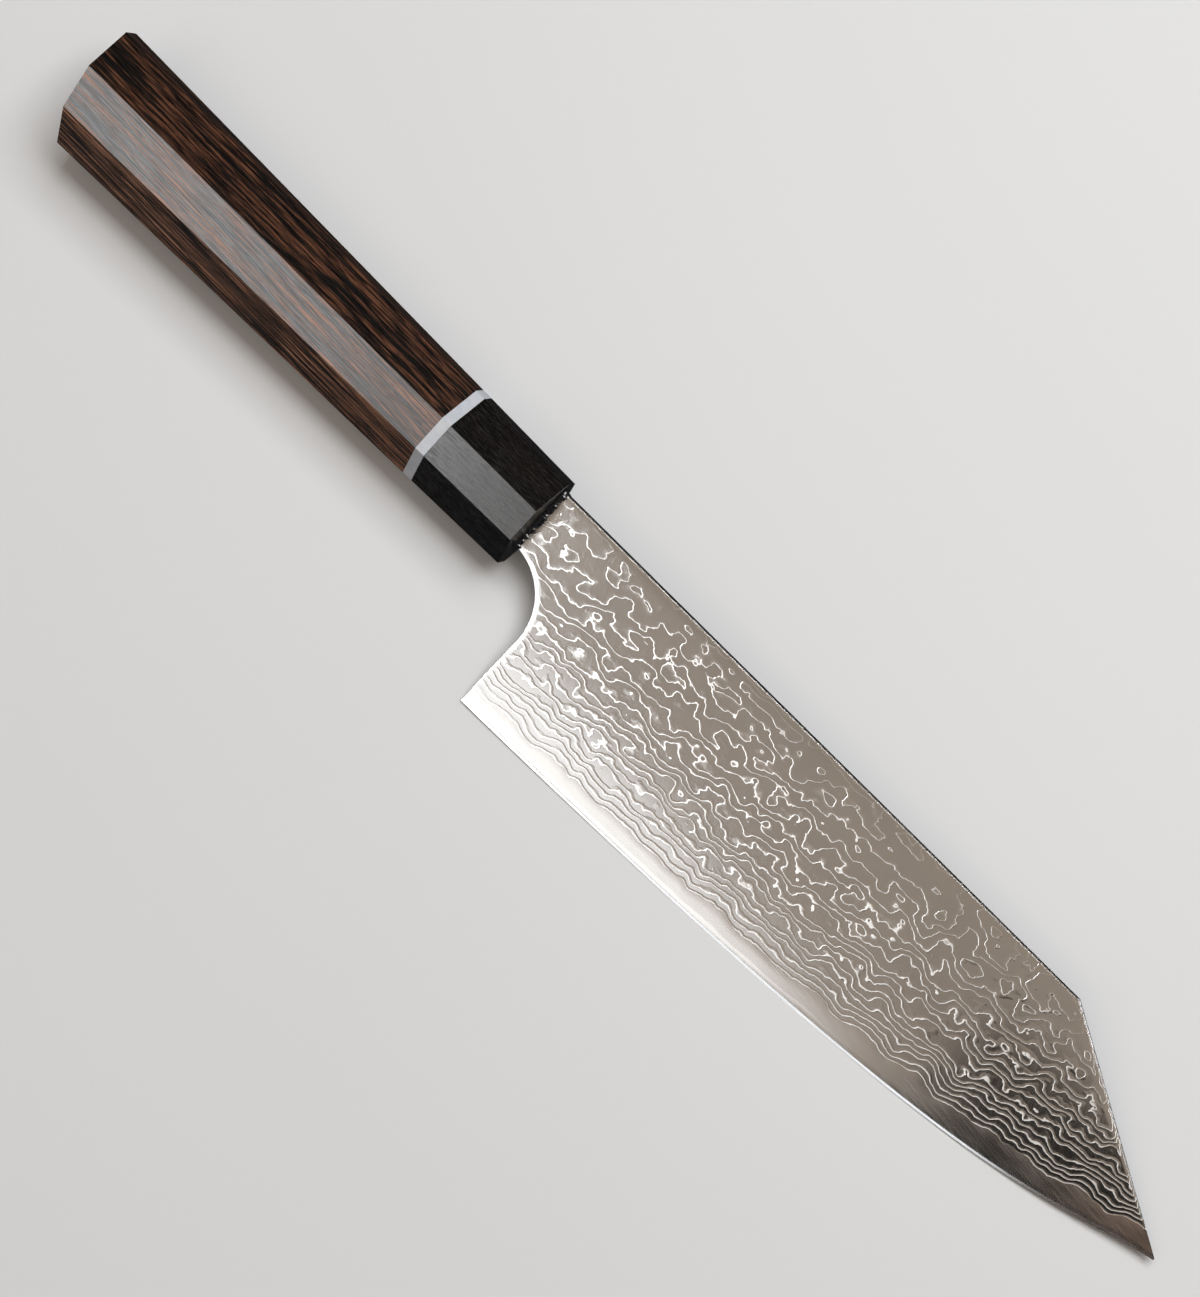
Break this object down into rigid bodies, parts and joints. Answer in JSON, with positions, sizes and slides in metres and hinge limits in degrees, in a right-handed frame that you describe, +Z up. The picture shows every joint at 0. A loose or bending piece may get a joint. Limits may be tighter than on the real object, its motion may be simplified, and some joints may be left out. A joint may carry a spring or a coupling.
{
  "type": "chef knife",
  "caption": "K-tip kitchen knife with a clad, wavy-patterned blade, hidden tang and tapering octagonal wooden handle with black ferrule and white spacer.",
  "frame": {"origin": "on the board that the knife lies on, under the middle of its box", "axes": "+X from the butt to the tip; +Y towards the spine; +Z up from the board. The knife lies on its left side as it comes to rest, on the lower edge line of its handle and the belly of its edge, so its own axes are rolled 14.12 degrees about +X, spine up, and pitched 0.97 degrees, tip down."},
  "size_m": [0.324, 0.0498, 0.0245],
  "materials": {
    "core_steel": "polished, with fine slanting scratches",
    "patterned_steel": "mirror polished, etched with pale wavy lines",
    "black_epoxy": "glossy",
    "black_wood": "polished, nearly black",
    "white_spacer": "satin",
    "striped_wood": "oiled and polished, black and brown stripes",
    "pale_wood": "bare",
    "amber_epoxy": "cured, hidden"
  },
  "bodies": {
    "root": {"core_steel": "core_steel", "cladding_right": "patterned_steel", "cladding_left": "patterned_steel", "mouth_seal": "black_epoxy", "ferrule": "black_wood", "spacer": "white_spacer", "handle_body": "striped_wood", "dowel": "pale_wood", "tang_adhesive": "amber_epoxy"}
  },
  "joints": []
}
